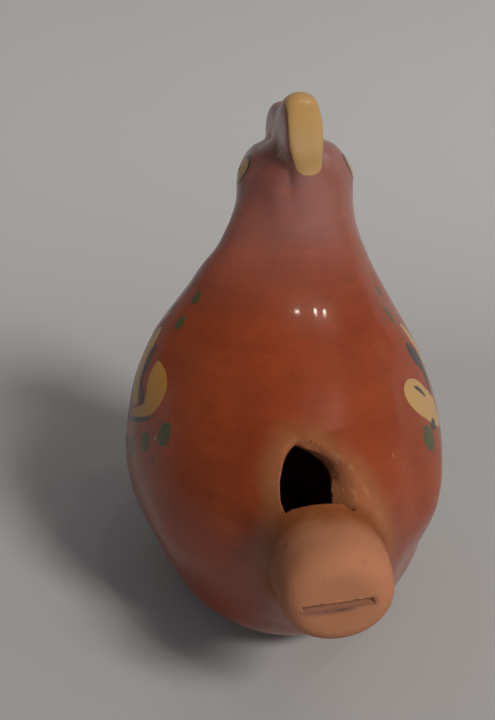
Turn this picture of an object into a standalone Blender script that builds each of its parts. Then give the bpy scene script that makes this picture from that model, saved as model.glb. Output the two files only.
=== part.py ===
"""Hand-made clay bird whistle, in metres, +Z up, looking along +Y.

One fired piece: a hollow body on a flat foot, a neck, a head with a pinched comb and a small beak, and a
tail drawn out into the mouthpiece. A flat windway rises through the mouthpiece to the window in the
rump, where the air is split by the lip and the chamber behind it sounds.
"""
import math

import bmesh
import bpy
from mathutils import Euler, Vector

# Body
BODY_LENGTH = 0.0540
BODY_WIDTH = 0.0480
SHOULDER_HEIGHT = 0.0534
WALL = 0.0032

# Mouthpiece, the drawn-out tail
MOUTHPIECE_LENGTH = 0.0125
MOUTHPIECE_WIDTH = 0.0154
MOUTHPIECE_HEIGHT = 0.0134
MOUTHPIECE_AXIS_HEIGHT = 0.0227
MOUTHPIECE_END_ROUNDING = 0.0030
MOUTHPIECE_SHIFT = 0.0008

# Head, with the sideways shift of a neck raised by hand
HEAD_LENGTH = 0.0210
HEAD_WIDTH = 0.0182
HEAD_DEPTH = 0.0140
HEAD_FORWARD = 0.01575
HEAD_SHIFT = 0.0031
CROWN_HEIGHT = 0.0661
BEAK_LENGTH = 0.0024
BEAK_TIP_HEIGHT = 0.0020

# Comb
COMB_LENGTH = 0.0172
COMB_HEIGHT = 0.0140
COMB_THICKNESS = 0.0058
COMB_RISE = 0.0070
COMB_YAW = math.radians(5.7)
COMB_SHIFT = -0.0004

# Windway, the flat air channel
WINDWAY_WIDTH = 0.0086
WINDWAY_HEIGHT = 0.0010
WINDWAY_NARROWING = 0.0010
WINDWAY_ROLL = math.radians(5.5)
WINDWAY_EXIT_OVERLAP = 0.0006
ROOF_LENGTH = 0.0106
ROOF_THICKNESS = 0.0012

# Window and lip
WINDOW_WIDTH = 0.0079
WINDOW_LENGTH = 0.0093
LIP_THICKNESS = 0.0011
LIP_UNDERCUT = 0.0024
CUT_MARGIN = 0.0010
CUT_MARGIN_RIGHT = 0.0030

# Fineness of the surfaces
RINGS_PER_SECTION = 3
POINTS_AROUND = 36
CHAMBER_POINTS_AROUND = 26
OVERSHOOT = 0.0030

# Height of the foot plane above the lowest point of the uncut belly
FOOT_CUT = 0.0018

NAME = "bird_whistle"


class Section:
    """One slice of the bird: an ellipse between a point on its back and a point on its belly."""

    def __init__(self, back, belly, half_width, shift=0.0):
        self.back = Vector((0.0, back[0], back[1]))
        self.belly = Vector((0.0, belly[0], belly[1]))
        self.half_width = half_width
        self.shift = shift

    def values(self):
        """The section as one list of numbers, for smooth blending."""
        return [self.back.y, self.back.z, self.belly.y, self.belly.z, self.half_width, self.shift]

    def inset(self, wall):
        """The section drawn in by a wall on every side."""
        inward = (self.belly - self.back).normalized() * wall
        back = self.back + inward
        belly = self.belly - inward
        return Section((back.y, back.z), (belly.y, belly.z), self.half_width - wall, self.shift)

    def ring(self, count, floor):
        """Points around the ellipse, none of them lower than the floor."""
        centre = (self.back + self.belly) / 2 + Vector((self.shift, 0.0, 0.0))
        upward = (self.back - self.belly) / 2
        points = []
        for index in range(count):
            angle = 2 * math.pi * index / count
            point = centre + upward * math.cos(angle)
            point.x += self.half_width * math.sin(angle)
            point.z = max(point.z, floor)
            points.append(point)
        return points


def mouthpiece_sections(body_rear):
    """The blowing end, rounded over, and the straight part that runs into the body."""
    end = body_rear - MOUTHPIECE_LENGTH
    # Distance from the end, and the share of full height and width there
    shares = [
        (0.0, 0.64, 0.62),
        (0.28 * MOUTHPIECE_END_ROUNDING, 0.87, 0.86),
        (MOUTHPIECE_END_ROUNDING, 1.0, 0.96),
        (0.66 * MOUTHPIECE_LENGTH, 1.06, 1.0),
    ]
    sections = []
    for distance, tall, wide in shares:
        half = tall * MOUTHPIECE_HEIGHT / 2
        y = end + distance
        back = (y, MOUTHPIECE_AXIS_HEIGHT + half)
        belly = (y, MOUTHPIECE_AXIS_HEIGHT - half)
        sections.append(Section(back, belly, wide * MOUTHPIECE_WIDTH / 2, MOUTHPIECE_SHIFT))
    return sections


def body_sections():
    """The egg of the body, from the rump to the shoulders."""
    # Back and belly as shares of length and height, half width as a share of width, share of head shift
    shares = [
        (-0.491, 0.581, -0.500, 0.187, 0.200, 0.13),
        (-0.387, 0.648, -0.398, 0.067, 0.317, 0.0),
        (-0.261, 0.727, -0.259, -0.015, 0.423, 0.0),
        (-0.135, 0.798, 0.054, -0.034, 0.498, 0.0),
        (-0.050, 0.861, 0.306, 0.011, 0.500, 0.06),
        (0.013, 0.929, 0.463, 0.178, 0.444, 0.22),
        (0.057, 1.000, 0.500, 0.431, 0.342, 0.45),
    ]
    sections = []
    for back_y, back_z, belly_y, belly_z, half, lean in shares:
        back = (back_y * BODY_LENGTH, back_z * SHOULDER_HEIGHT)
        belly = (belly_y * BODY_LENGTH, belly_z * SHOULDER_HEIGHT)
        sections.append(Section(back, belly, half * BODY_WIDTH, lean * HEAD_SHIFT))
    return sections


def head_sections():
    """The head from nape to face, and the plain beak."""
    # Back and throat as shares of head length and depth below the crown, half width as a share of width
    shares = [
        (-0.479, 0.329, 0.340, 0.993, 0.493),
        (-0.355, 0.130, 0.379, 0.714, 0.482),
        (-0.107, 0.0, 0.445, 0.557, 0.436),
        (0.190, 0.090, 0.490, 0.560, 0.310),
        (0.400, 0.235, 0.530, 0.545, 0.190),
    ]
    sections = []
    for back_y, back_drop, belly_y, belly_drop, half in shares:
        back = (HEAD_FORWARD + back_y * HEAD_LENGTH, CROWN_HEIGHT - back_drop * HEAD_DEPTH)
        belly = (HEAD_FORWARD + belly_y * HEAD_LENGTH, CROWN_HEIGHT - belly_drop * HEAD_DEPTH)
        sections.append(Section(back, belly, half * HEAD_WIDTH, HEAD_SHIFT))
    root = sections[-1]
    tip_y = root.belly.y + BEAK_LENGTH
    tip_z = (root.back.z + root.belly.z) / 2 - 0.4 * BEAK_LENGTH
    half_tip = BEAK_TIP_HEIGHT / 2
    sections.append(Section((tip_y, tip_z + half_tip), (tip_y, tip_z - half_tip), 1.1 * half_tip, HEAD_SHIFT))
    return sections


def neck_sections(shoulder, nape):
    """Two slices that draw the shoulders in to the neck."""
    # How far the back, the belly and the width have come from shoulder to nape
    shares = [(0.36, 0.457, 0.59), (0.69, 0.78, 0.945)]
    sections = []
    for back_share, belly_share, width_share in shares:
        back = shoulder.back.lerp(nape.back, back_share)
        belly = shoulder.belly.lerp(nape.belly, belly_share)
        half_width = shoulder.half_width + width_share * (nape.half_width - shoulder.half_width)
        shift = shoulder.shift + width_share * (nape.shift - shoulder.shift)
        sections.append(Section((back.y, back.z), (belly.y, belly.z), half_width, shift))
    return sections


def blend(before, first, second, after, share):
    """Smooth blend from the first section to the second, led by their neighbours."""
    blended = []
    for a, b, c, d in zip(before.values(), first.values(), second.values(), after.values()):
        linear = (c - a) * share
        square = (2 * a - 5 * b + 4 * c - d) * share ** 2
        cube = (3 * b - a - 3 * c + d) * share ** 3
        blended.append(b + 0.5 * (linear + square + cube))
    return Section(blended[0:2], blended[2:4], blended[4], blended[5])


def smooth_sections(sections):
    """More slices between the named ones, along smooth curves through all of them."""
    smooth = []
    last = len(sections) - 1
    for index in range(last):
        before = sections[max(index - 1, 0)]
        after = sections[min(index + 2, last)]
        for step in range(RINGS_PER_SECTION):
            share = step / RINGS_PER_SECTION
            smooth.append(blend(before, sections[index], sections[index + 1], after, share))
    smooth.append(sections[last])
    return smooth


def bird_sections():
    """Every slice of the outer form, set so that the bird's length is centred on the origin."""
    body = body_sections()
    head = head_sections()
    tail = mouthpiece_sections(body[0].belly.y)
    sections = tail + body + neck_sections(body[-1], head[0]) + head
    middle = (tail[0].back.y + head[-1].back.y) / 2
    for section in sections:
        section.back.y -= middle
        section.belly.y -= middle
    return smooth_sections(sections), middle


def height_of_back(sections, y):
    """Height of the back line at a place along the bird, read from the rear forwards."""
    for rear, front in zip(sections, sections[1:]):
        if rear.back.y <= y <= front.back.y and front.back.y > rear.back.y:
            share = (y - rear.back.y) / (front.back.y - rear.back.y)
            return rear.back.z + share * (front.back.z - rear.back.z)
    return sections[-1].back.z


def loft(name, rings, collection):
    """A closed skin over rings of equally many points, with a flat face at each end."""
    mesh = bmesh.new()
    rows = [[mesh.verts.new(point) for point in ring] for ring in rings]
    count = len(rows[0])
    for row, following in zip(rows, rows[1:]):
        for index in range(count):
            right = (index + 1) % count
            mesh.faces.new((row[index], row[right], following[right], following[index]))
    mesh.faces.new(list(reversed(rows[0])))
    mesh.faces.new(rows[-1])
    bmesh.ops.recalc_face_normals(mesh, faces=mesh.faces)
    return add_object(name, mesh, collection)


def add_object(name, mesh, collection):
    """Put a finished bmesh into the scene as an object."""
    data = bpy.data.meshes.new(name)
    mesh.to_mesh(data)
    mesh.free()
    placed = bpy.data.objects.new(name, data)
    collection.objects.link(placed)
    return placed


def make_bird(sections, collection):
    """The outer form, with the belly cut flat for the foot."""
    rings = [section.ring(POINTS_AROUND, -FOOT_CUT) for section in sections]
    bird = loft("whistle_body", rings, collection)
    mesh = bmesh.new()
    mesh.from_mesh(bird.data)
    everything = mesh.verts[:] + mesh.edges[:] + mesh.faces[:]
    cut = bmesh.ops.bisect_plane(
        mesh, geom=everything, dist=1e-7, plane_co=(0, 0, 0), plane_no=(0, 0, -1), clear_outer=True
    )
    rim = [item for item in cut["geom_cut"] if isinstance(item, bmesh.types.BMEdge)]
    bmesh.ops.contextual_create(mesh, geom=rim)
    bmesh.ops.recalc_face_normals(mesh, faces=mesh.faces)
    mesh.to_mesh(bird.data)
    mesh.free()
    return bird


def make_comb(middle, collection):
    """The pinched comb: a thick slab with two round lobes, the rear one taller, set along the crown."""
    # Place along the comb from the rear, and the shares of full height and thickness there
    profile = [
        (0.0, 0.52, 0.86), (0.10, 0.82, 1.0), (0.23, 1.03, 1.0), (0.38, 1.02, 1.0), (0.49, 0.76, 1.0),
        (0.62, 0.87, 1.0), (0.83, 0.84, 1.0), (1.0, 0.46, 0.9),
    ]
    # Edges are fuller than a plain oval, as pinched clay is, and lower than the middle
    across = ((-1.0, 0.93), (-0.5, 1.0), (0.5, 1.0), (1.0, 0.93))
    foot_height = CROWN_HEIGHT + COMB_RISE - COMB_HEIGHT
    rings = []
    for along, up, thick in profile:
        y = (along - 0.5) * COMB_LENGTH
        half = thick * COMB_THICKNESS / 2
        levels = [-0.12, 0.30 * up, 0.72 * up, up]
        top = [Vector((side * half, y, drop * levels[3] * COMB_HEIGHT)) for side, drop in across]
        right = [Vector((half, y, level * COMB_HEIGHT)) for level in (levels[2], levels[1])]
        under = [Vector((side * half, y, levels[0] * COMB_HEIGHT)) for side, _ in across[::-1]]
        left = [Vector((-half, y, level * COMB_HEIGHT)) for level in (levels[1], levels[2])]
        rings.append(top + right + under + left)
    place = Vector((HEAD_SHIFT + COMB_SHIFT, HEAD_FORWARD - 0.075 * HEAD_LENGTH - middle, foot_height))
    turn = Euler((0.0, 0.0, COMB_YAW)).to_matrix()
    rings = [[turn @ point + place for point in ring] for ring in rings]
    comb = loft("comb_form", rings, collection)
    rounding = comb.modifiers.new("Rounding", "SUBSURF")
    rounding.levels = 2
    rounding.render_levels = 2
    return comb


def make_chamber(sections, rear_y, collection):
    """The hollow: the outer form drawn in by the wall, from the window's edge up into the neck."""
    neck_top = len(sections) - 1 - 5 * RINGS_PER_SECTION - 1
    inner = [section.inset(WALL) for section in sections[:neck_top] if section.back.y > rear_y]
    rings = [section.ring(CHAMBER_POINTS_AROUND, WALL) for section in inner]
    # The throat closes as a low dome
    throat = inner[-1]
    centre = (throat.back + throat.belly) / 2 + Vector((throat.shift, 0.0, 0.0))
    upward = (throat.back - throat.belly).cross(Vector((1.0, 0.0, 0.0))).normalized()
    if upward.z < 0:
        upward = -upward
    last = rings[-1]
    for angle in (30, 60):
        size = math.cos(math.radians(angle))
        rise = upward * throat.half_width * 0.5 * math.sin(math.radians(angle))
        rings.append([centre + (point - centre) * size + rise for point in last])
    return loft("chamber_cutter", rings, collection)


def make_windway(sections, window, collection):
    """The flat channel from the blowing end up to just under the roof's edge."""
    start_y = sections[0].back.y
    slope = (window["exit"].z - MOUTHPIECE_AXIS_HEIGHT) / (window["exit"].y - start_y)
    rings = []
    for y, narrowing in (
        (start_y - OVERSHOOT, 0.0),
        (start_y, 0.0),
        (window["exit"].y + WINDWAY_EXIT_OVERLAP, WINDWAY_NARROWING),
    ):
        share = (y - start_y) / (window["exit"].y - start_y)
        x = MOUTHPIECE_SHIFT * (1 - max(share, 0.0))
        centre = Vector((x, y, MOUTHPIECE_AXIS_HEIGHT + (y - start_y) * slope))
        half_width = (WINDWAY_WIDTH - narrowing) / 2
        half_height = WINDWAY_HEIGHT / 2
        roll = Euler((0.0, -WINDWAY_ROLL * (1 - 0.4 * min(max(share, 0.0), 1.0)), 0.0)).to_matrix()
        corners = [(-1, -1), (1, -1), (1, 1), (-1, 1)]
        ring = [roll @ Vector((a * half_width, 0.0, b * half_height)) + centre for a, b in corners]
        rings.append(ring)
    return loft("windway_cutter", rings, collection)


def window_frame(sections):
    """Where the window lies: the roof's edge, the slope of the rump there, and the windway's exit."""
    edge_y = sections[0].back.y + ROOF_LENGTH
    edge = Vector((0.0, edge_y, height_of_back(sections, edge_y) - LIP_THICKNESS))
    far_y = edge_y + 0.87 * WINDOW_LENGTH
    far = Vector((0.0, far_y, height_of_back(sections, far_y) - LIP_THICKNESS))
    along = (far - edge).normalized()
    normal = Vector((1.0, 0.0, 0.0)).cross(along)
    exit_point = edge - Vector((0.0, 0.0, ROOF_THICKNESS + WINDWAY_HEIGHT / 2))
    return {"edge": edge, "along": along, "normal": normal, "exit": exit_point}


def make_window(window, collection):
    """The arched opening cut with a knife: sloping sides, widest on the right, and a thin lip in front."""
    half = WINDOW_WIDTH / 2
    length = WINDOW_LENGTH
    # Outline from the roof's right corner round to its left one, as shares of half width and length,
    # and the share of the sideways slant there
    arch = [
        (1.0, 0.0, 0.12), (1.03, 0.18, 0.62), (1.07, 0.36, 0.95), (1.10, 0.54, 1.0), (0.76, 0.69, 0.72),
        (0.25, 0.82, 0.28), (-0.20, 0.95, 0.10), (-0.42, 1.0, 0.30), (-0.68, 0.90, 0.70),
        (-0.92, 0.68, 1.0), (-1.08, 0.46, 1.0), (-1.12, 0.22, 1.0), (-1.03, 0.0, 1.0),
    ]
    # The sloping sides run on at the same slant to well above the clay
    steep = OVERSHOOT / LIP_THICKNESS
    # Height over the lip plane, extra width on the left and right, share of the right half left uncut,
    # extra length, and lean of the roof's end
    levels = [
        (OVERSHOOT, CUT_MARGIN * steep, CUT_MARGIN_RIGHT * (1 + steep), 0.0, CUT_MARGIN * steep, 0.0),
        (0.0, 0.0, CUT_MARGIN_RIGHT, 0.0, 0.0, 0.0),
        (-LIP_THICKNESS, 0.0, 0.4 * CUT_MARGIN_RIGHT, 0.20, 0.2 * LIP_UNDERCUT, -0.6 * LIP_THICKNESS),
        (-0.8 * WALL, 0.0, 0.0, 0.45, LIP_UNDERCUT, -0.6 * WALL),
        (-2.0 * WALL, -0.2 * half, 0.0, 0.45, LIP_UNDERCUT, -1.0 * WALL),
    ]
    rings = []
    for height, left, right, uncut, longer, lean in levels:
        ring = []
        for across, ahead, slant in arch:
            widening = right if across > 0 else left
            reach = across * half * (1 - uncut if across > 0 else 1)
            x = reach + math.copysign(widening * slant, across)
            v = ahead * (length + longer)
            v += lean * (1 - ahead)
            point = window["edge"] + window["along"] * v + window["normal"] * height
            point.x += x
            ring.append(point)
        rings.append(ring)
    return loft("window_cutter", rings, collection)


def combine(target, other, operation):
    """Join or cut one form with another, exactly."""
    step = target.modifiers.new(other.name, "BOOLEAN")
    step.operation = operation
    step.solver = "EXACT"
    step.object = other
    other.hide_render = True
    other.display_type = "WIRE"


def clay_material():
    """Red-brown glazed earthenware."""
    clay = bpy.data.materials.new("glazed_clay")
    clay.use_nodes = True
    shader = clay.node_tree.nodes["Principled BSDF"]
    shader.inputs["Base Color"].default_value = (0.25, 0.055, 0.02, 1.0)
    shader.inputs["Roughness"].default_value = 0.25
    shader.inputs["Metallic"].default_value = 0.0
    return clay


def build():
    """Build the whistle and everything that cuts it."""
    for old in list(bpy.data.objects):
        bpy.data.objects.remove(old, do_unlink=True)
    parts = bpy.data.collections.new(NAME)
    cutters = bpy.data.collections.new("cutters")
    bpy.context.scene.collection.children.link(parts)
    bpy.context.scene.collection.children.link(cutters)

    sections, middle = bird_sections()
    window = window_frame(sections)
    bird = make_bird(sections, parts)
    combine(bird, make_comb(middle, cutters), "UNION")
    combine(bird, make_chamber(sections, window["edge"].y, cutters), "DIFFERENCE")
    combine(bird, make_window(window, cutters), "DIFFERENCE")
    combine(bird, make_windway(sections, window, cutters), "DIFFERENCE")
    bird.data.materials.append(clay_material())
    bird.data.shade_smooth()
    bird.data.set_sharp_from_angle(angle=math.radians(35))


build()
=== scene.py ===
"""Looks of the hand-made clay bird whistle: its softened form, glaze, slip painting and bare clay.

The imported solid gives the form. One piece stands for it: a finer copy whose facets are smoothed away,
whose cut edges stay crisp, and which carries the painting as signed distances on its surface.
"""

import logging
import math
from dataclasses import dataclass, field
from enum import Enum

import bmesh
import bpy
import numpy as np
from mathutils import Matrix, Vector, noise
from mathutils.bvhtree import BVHTree
from mathutils.kdtree import KDTree


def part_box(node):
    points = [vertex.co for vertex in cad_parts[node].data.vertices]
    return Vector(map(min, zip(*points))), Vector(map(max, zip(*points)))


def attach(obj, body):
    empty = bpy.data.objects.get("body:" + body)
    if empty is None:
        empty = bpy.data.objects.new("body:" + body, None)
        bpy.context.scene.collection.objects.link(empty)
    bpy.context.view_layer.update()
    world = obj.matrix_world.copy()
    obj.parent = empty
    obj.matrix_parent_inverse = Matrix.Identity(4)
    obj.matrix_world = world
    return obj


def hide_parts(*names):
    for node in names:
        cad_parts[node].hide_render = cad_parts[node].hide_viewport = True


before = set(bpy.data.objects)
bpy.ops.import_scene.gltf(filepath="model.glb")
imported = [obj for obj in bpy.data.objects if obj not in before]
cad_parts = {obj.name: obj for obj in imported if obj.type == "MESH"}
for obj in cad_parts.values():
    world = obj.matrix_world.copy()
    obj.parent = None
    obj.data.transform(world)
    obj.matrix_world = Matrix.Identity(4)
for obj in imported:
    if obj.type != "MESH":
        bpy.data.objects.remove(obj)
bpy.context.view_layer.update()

LOG = logging.getLogger("whistle")
MM = 0.001
RAY_START = 0.2

Colour = tuple[float, float, float]
Place = tuple[float, float, float]
Dab = tuple[float, float, float]
Mesh = bmesh.types.BMesh
Layer = bmesh.types.BMLayerItem
Socket = bpy.types.NodeSocket


class Pigment(Enum):
    """The slips on the brush, each named as the surface attribute that carries it."""

    CREAM = "slip_cream"
    OCHRE = "slip_ochre"
    GREEN = "slip_green"
    DARK = "slip_dark"
    # Marks on the bare clay: stained smudges, and painted shade along the windway's mouth.
    STAIN_AND_SHADE = "clay_stain_and_shade"


class Side(Enum):
    """Where the painter stands. Each value is the axis looked along and the sign of the look."""

    LEFT = (0, 1.0)
    RIGHT = (0, -1.0)
    REAR = (1, 1.0)
    TOP = (2, -1.0)


def curve_value(before: float, first: float, second: float, after: float, share: float) -> float:
    """A value on the smooth curve that passes through four values.

    Args:
        before: The value ahead of the stretch.
        first: The value where the stretch starts.
        second: The value where it ends.
        after: The value past the stretch.
        share: How far along the stretch to look, from 0 to 1.

    Returns:
        The value there.
    """
    bend = 2 * before - 5 * first + 4 * second - after
    twist = 3 * first - before - 3 * second + after
    return 0.5 * (2 * first + (second - before) * share + bend * share ** 2 + twist * share ** 3)


@dataclass(frozen=True)
class Stroke:
    """One brush stroke as dabs: two places on the side looked at and a half width, in millimetres."""

    side: Side
    pigment: Pigment
    points: tuple[Dab, ...]

    def samples(self, spacing: float = 0.2) -> list[Dab]:
        """Places and half widths along a smooth curve through the stroke's own points.

        Args:
            spacing: Distance between samples, in millimetres.

        Returns:
            One dab for each sample.
        """
        own = self.points
        if len(own) == 1:
            return [own[0]]
        found = []
        for index in range(len(own) - 1):
            before = own[max(index - 1, 0)]
            first, second = own[index], own[index + 1]
            after = own[min(index + 2, len(own) - 1)]
            count = max(2, round(math.dist(first[:2], second[:2]) / spacing))
            for step in range(count):
                found.append(tuple(curve_value(*four, step / count) for four in zip(before, first, second, after)))
        found.append(own[-1])
        return found


@dataclass(frozen=True)
class Press:
    """A thumb's mark: dabs on one side, how deep it goes and how far it fades out.

    A depth below zero raises the clay instead. All sizes are in millimetres.
    """

    side: Side
    points: tuple[Dab, ...]
    depth: float
    fade: float


@dataclass(frozen=True)
class Palette:
    """Colours of clay, glaze and slips, of real stains, and of painted sheen and painted shade, as linear values."""

    glaze_deep: Colour = (0.150, 0.021, 0.003)
    glaze_bright: Colour = (0.300, 0.050, 0.008)
    glaze_thin: Colour = (0.230, 0.078, 0.026)
    clay: Colour = (0.400, 0.165, 0.084)
    clay_dark: Colour = (0.310, 0.118, 0.055)
    clay_stained: Colour = (0.190, 0.050, 0.010)
    # Dark brown of the stained smudges and of the painted shade along the windway's mouth.
    stain_and_shade: Colour = (0.150, 0.066, 0.048)
    scraped: Colour = (0.430, 0.240, 0.125)
    cream: Colour = (0.415, 0.242, 0.082)
    ochre: Colour = (0.390, 0.185, 0.026)
    green: Colour = (0.058, 0.062, 0.016)
    dark: Colour = (0.040, 0.032, 0.030)
    # Painted sheen: a pale reflection of the room mixed into the glaze's colour towards the head.
    painted_sheen: Colour = (0.240, 0.260, 0.280)


@dataclass(frozen=True)
class Finish:
    """How rough each surface is, and how high its relief stands in metres."""

    glaze_roughness: float = 0.26
    skin_weight: float = 0.44
    skin_roughness: float = 0.08
    specular: float = 0.32
    slip_roughness: float = 0.34
    thin_roughness: float = 0.50
    bare_roughness: float = 0.75
    slip_relief: float = 0.00006
    streak_relief: float = 0.000006
    grain_relief: float = 0.00004


def flank_strokes(side: Side) -> list[Stroke]:
    """The painted wing on one flank, as nested commas with dark lines and a row of green dots.

    Args:
        side: Which flank, left or right.

    Returns:
        The strokes, with places given as distance towards the beak and height.
    """
    cream, ochre, green, dark = Pigment.CREAM, Pigment.OCHRE, Pigment.GREEN, Pigment.DARK
    if side is Side.LEFT:
        lines = [
            (ochre, ((3.9, 37.1, 0.4), (2.9, 36.3, 1.2), (1.9, 35.4, 1.9), (1.0, 34.6, 2.1), (0.4, 33.6, 2.0),
                     (0.1, 32.7, 1.6), (0.5, 31.6, 1.1), (1.8, 30.6, 0.8), (3.6, 29.7, 0.5))),
            (cream, ((8.8, 40.4, 0.4), (8.5, 39.0, 0.9), (7.9, 37.2, 1.1), (6.9, 35.2, 1.2), (5.8, 33.5, 1.2),
                     (4.8, 32.2, 1.1), (3.7, 31.4, 0.7))),
            (dark, ((6.8, 38.5, 0.35), (6.0, 37.0, 0.5), (5.4, 35.8, 0.5), (4.3, 34.0, 0.45), (3.0, 32.9, 0.5),
                    (2.2, 32.0, 0.65))),
            (dark, ((10.4, 41.4, 0.15), (10.2, 39.4, 0.25), (9.6, 37.4, 0.25), (8.6, 35.4, 0.2), (7.5, 33.6, 0.2),
                    (6.2, 32.0, 0.2), (4.8, 30.9, 0.2), (3.2, 30.7, 0.15))),
            (dark, ((-1.6, 31.3, 0.12), (1.0, 29.7, 0.35), (5.6, 27.7, 0.35))),
            (ochre, ((12.4, 38.0, 0.4), (13.4, 37.2, 1.3), (14.1, 35.4, 1.5), (14.0, 33.2, 1.1), (12.8, 31.6, 0.4))),
            (green, ((8.4, 45.9, 0.5), (7.9, 45.1, 0.7))),
            (green, ((6.7, 42.7, 0.55), (6.3, 42.0, 0.75))),
            (green, ((10.6, 43.4, 0.7), (10.9, 42.8, 0.7))),
            (green, ((-5.3, 31.0, 1.3), (-5.8, 30.4, 1.35))),
            (green, ((-2.3, 28.2, 1.1), (-2.7, 27.6, 1.1))),
            (green, ((1.4, 25.6, 1.1), (1.1, 25.0, 1.1))),
            (green, ((5.2, 24.3, 1.1), (5.5, 23.9, 1.1))),
            (green, ((9.4, 24.0, 1.1), (9.8, 23.8, 1.1))),
            (cream, ((-4.4, 29.4, 0.25),)),
            (dark, ((-5.7, 27.6, 0.12), (-5.8, 26.5, 0.3))),
        ]
    else:
        lines = [
            (cream, ((-1.6, 34.8, 0.6), (-2.8, 34.8, 1.1), (-4.0, 34.2, 1.6), (-4.2, 33.4, 2.2), (-3.4, 32.4, 2.7),
                     (-2.7, 31.2, 2.6), (-2.4, 29.9, 1.9), (-2.5, 28.7, 1.0))),
            (cream, ((-1.5, 34.9, 0.5), (-1.2, 34.2, 0.5), (-1.2, 33.4, 0.5), (-1.2, 32.3, 0.5))),
            (dark, ((-2.5, 34.6, 0.2), (-2.3, 34.2, 0.36), (-2.1, 33.5, 0.36), (-2.1, 32.9, 0.2))),
            (dark, ((4.1, 38.2, 0.5), (3.5, 37.4, 1.1), (3.1, 36.6, 1.3), (2.9, 35.8, 1.1), (2.6, 35.0, 0.8),
                    (2.0, 34.3, 0.7), (1.4, 33.7, 0.6), (0.7, 33.0, 0.55), (-0.4, 32.3, 0.35))),
            (dark, ((3.2, 33.0, 0.15), (2.8, 32.0, 0.3), (1.9, 30.6, 0.2))),
            (cream, ((7.7, 39.9, 0.4), (6.9, 38.7, 0.9), (6.3, 37.5, 1.1), (5.9, 36.4, 1.1), (5.4, 35.3, 1.0),
                     (4.8, 34.2, 0.8), (4.2, 33.0, 0.6), (3.6, 32.0, 0.4))),
            (ochre, ((12.4, 38.0, 0.4), (13.4, 37.2, 1.3), (14.1, 35.4, 1.5), (14.0, 33.2, 1.1), (12.8, 31.6, 0.4))),
            (dark, ((-4.4, 29.9, 0.5), (-5.3, 29.6, 0.65))),
            (green, ((10.3, 45.2, 0.35), (9.9, 44.3, 0.45))),
            (green, ((7.8, 42.6, 0.4), (7.3, 41.8, 0.5), (6.7, 41.1, 0.4))),
            (green, ((-7.3, 29.5, 1.3), (-8.1, 28.8, 1.4))),
            (green, ((-2.8, 27.0, 1.3), (-3.2, 26.3, 1.3))),
            (green, ((0.8, 25.2, 1.1), (1.1, 24.8, 1.1))),
            (green, ((5.0, 24.3, 1.1), (5.3, 23.9, 1.1))),
            (green, ((9.2, 24.0, 1.1), (9.6, 23.8, 1.1))),
            (cream, ((-14.4, 30.5, 0.25),)),
        ]
    return [Stroke(side, pigment, points) for pigment, points in lines]


def eye_strokes(side: Side) -> list[Stroke]:
    """A painted eye: a cream disc with a dark rim and pupil.

    Args:
        side: Which side of the head.

    Returns:
        The disc, its rim and the pupil.
    """
    along, up = (19.1, 61.3) if side is Side.LEFT else (18.9, 61.3)
    radius, half_width, turns = 1.95, 0.24 if side is Side.LEFT else 0.34, 12
    angles = [2 * math.pi * turn / turns for turn in range(turns + 1)]
    rim = tuple((along + radius * math.cos(angle), up + radius * math.sin(angle), half_width) for angle in angles)
    return [
        Stroke(side, Pigment.CREAM, ((along, up, 2.0),)),
        Stroke(side, Pigment.DARK, rim),
        Stroke(side, Pigment.DARK, ((along + 0.5, up, 0.65),)),
    ]


def comb_strokes() -> list[Stroke]:
    """Cream slip laid down the back of the comb and thinly over its crest.

    Returns:
        Two strokes from behind and one from above.
    """
    back = ((3.9, 64.2, 2.1), (3.7, 65.6, 2.5), (3.6, 67.0, 2.65), (3.5, 69.5, 2.65), (3.4, 71.5, 2.6))
    heel = ((3.4, 63.7, 1.6), (4.4, 63.7, 1.6))
    crest = ((3.3, 13.4, 2.6), (3.1, 15.5, 2.5), (2.8, 17.5, 1.7), (2.4, 20.5, 1.1), (2.0, 24.0, 1.0), (1.7, 26.6, 0.7))
    return [
        Stroke(Side.REAR, Pigment.CREAM, back),
        Stroke(Side.REAR, Pigment.CREAM, heel),
        Stroke(Side.TOP, Pigment.CREAM, crest),
    ]


def mouthpiece_stains_and_shade() -> list[Stroke]:
    """Dark marks on the bare clay: a painted shade along the windway's mouth, and two small smudges soaked into it.

    Returns:
        The marks, with places given as across and height.
    """
    marks = (
        # The first mark is painted shade along the windway's mouth; the other two are stained smudges.
        ((-3.5, 21.8, 0.35), (-1.4, 22.0, 0.50), (1.4, 22.3, 0.60), (3.6, 22.7, 0.55), (5.0, 22.9, 0.55)),
        ((-4.7, 27.3, 0.45),),
        ((3.8, 27.8, 0.25),),
    )
    return [Stroke(Side.REAR, Pigment.STAIN_AND_SHADE, points) for points in marks]


BARE_OUTLINE: tuple[tuple[float, float], ...] = (
    (-3.9, 33.6), (-2.8, 34.2), (-1.4, 34.5), (-0.1, 34.5), (1.4, 34.1), (2.8, 33.4), (4.2, 32.5), (5.7, 31.2),
    (7.2, 29.6), (8.4, 27.8), (9.3, 25.9), (9.8, 24.0), (9.8, 22.0), (9.3, 19.0), (7.4, 15.8), (3.0, 14.2),
    (-2.0, 14.6), (-5.2, 17.0), (-6.4, 20.5), (-6.6, 22.0), (-6.5, 24.0), (-6.1, 25.7), (-5.6, 27.0), (-5.2, 28.2),
    (-5.6, 29.7), (-5.4, 31.2), (-4.8, 32.7),
)


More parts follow.
